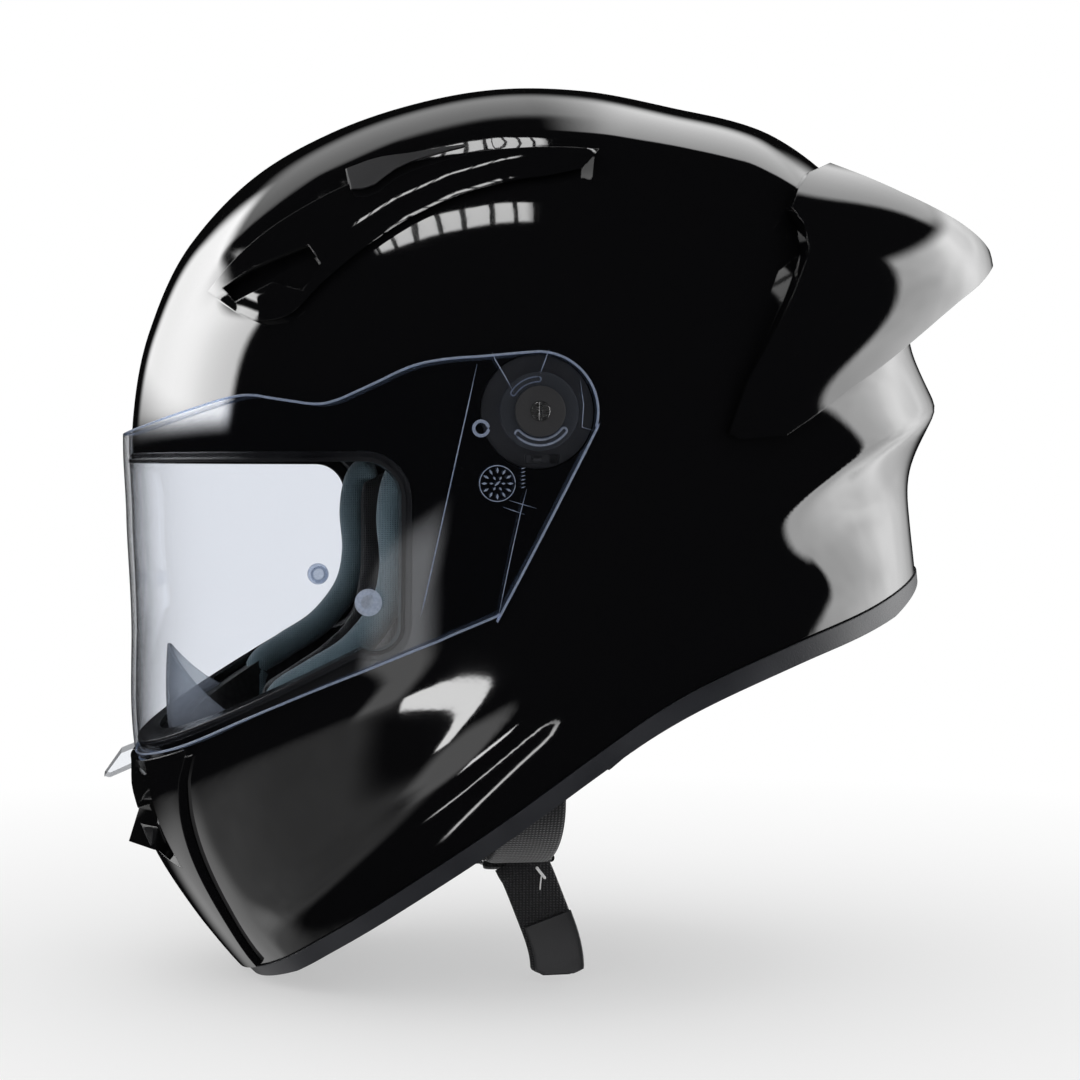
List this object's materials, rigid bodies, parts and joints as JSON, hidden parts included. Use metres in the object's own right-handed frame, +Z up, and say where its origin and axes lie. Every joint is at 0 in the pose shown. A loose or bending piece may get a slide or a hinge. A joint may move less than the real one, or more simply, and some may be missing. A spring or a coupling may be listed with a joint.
{
  "type": "full-face motorcycle helmet",
  "caption": "Full-face motorcycle helmet with an opening clear visor, rear spoiler, sliding vents, foam liner, comfort pads and a double D-ring chin strap.",
  "frame": {"origin": "mid-point between the two visor hinges, on the helmet's middle plane", "axes": "-Y is the front (where the rider looks), +Z is up in the worn attitude, +X is the rider's left; +X is also the visor hinge axis"},
  "size_m": [0.261, 0.3283, 0.3268],
  "materials": {
    "shell_black": "gloss lacquer",
    "satin_black": "satin",
    "trim_rubber": "satin rubber",
    "clear_visor": "clear polycarbonate",
    "clear_hub": "clear polycarbonate",
    "foam_black": "bead foam",
    "pad_fabric": "brushed knit",
    "grey_plastic": "translucent grey",
    "webbing": "woven nylon",
    "steel": "brushed"
  },
  "bodies": {
    "helmet": {"outer_shell": "shell_black", "base_trim": "trim_rubber", "eyeport_gasket": "trim_rubber", "chin_panel": "shell_black", "rear_spoiler": "shell_black", "exhaust_grille": "satin_black", "top_vent_cover_left": "shell_black", "top_vent_cover_right": "shell_black", "pivot_base_left": "satin_black", "pivot_base_right": "satin_black", "pivot_caps": "satin_black", "pivot_screws": "steel", "eps_liner": "foam_black", "chin_liner": "foam_black", "crown_pad": "pad_fabric", "cheek_pad_left": "pad_fabric", "cheek_pad_right": "pad_fabric", "neck_roll": "pad_fabric", "cheek_tabs": "pad_fabric", "breath_guard": "grey_plastic", "strap_anchors": "steel", "strap_left": "webbing", "strap_right": "webbing"},
    "visor_unit": {"visor": "clear_visor", "visor_hub_left": "clear_hub", "visor_hub_right": "clear_hub", "insert_pins": "clear_hub"},
    "chin_vent": {"chin_vent_slider": "satin_black"},
    "top_vent_left": {"top_vent_slider_left": "satin_black"},
    "top_vent_right": {"top_vent_slider_right": "satin_black"},
    "lever_left": {"release_lever_left": "satin_black"},
    "lever_right": {"release_lever_right": "satin_black"},
    "strap_loop": {"chin_strap_short": "webbing", "chin_strap_long": "webbing", "d_rings": "steel"},
    "free_end": {"strap_tail": "webbing"}
  },
  "joints": [
    {"name": "visor_hinge", "type": "hinge", "parent": "helmet", "child": "visor_unit", "pos_m": [0, 0, 0], "axis": [-1, 0, 0], "range_deg": [0, 52]},
    {"name": "chin_vent_slide", "type": "slide", "parent": "helmet", "child": "chin_vent", "axis": [0, -0.311, 0.9504], "range_m": [0, 0.005]},
    {"name": "top_vent_left_track", "type": "hinge", "parent": "helmet", "child": "top_vent_left", "pos_m": [0, 0, 0], "axis": [-1, 0, 0], "range_deg": [0, 5]},
    {"name": "top_vent_right_track", "type": "hinge", "parent": "helmet", "child": "top_vent_right", "pos_m": [0, 0, 0], "axis": [-1, 0, 0], "range_deg": [0, 5]},
    {"name": "lever_left_slide", "type": "slide", "parent": "helmet", "child": "lever_left", "axis": [0, 1, 0], "range_m": [0, 0.003]},
    {"name": "lever_right_slide", "type": "slide", "parent": "helmet", "child": "lever_right", "axis": [0, 1, 0], "range_m": [0, 0.003]},
    {"name": "strap_swing", "type": "hinge", "parent": "helmet", "child": "strap_loop", "pos_m": [0, 0.004, -0.134], "axis": [1, 0, 0], "range_deg": [-20, 16]},
    {"name": "free_end_swing", "type": "hinge", "parent": "strap_loop", "child": "free_end", "pos_m": [0.046, 0.004, -0.1636], "axis": [0, -1, 0], "range_deg": [-3, 60]}
  ]
}
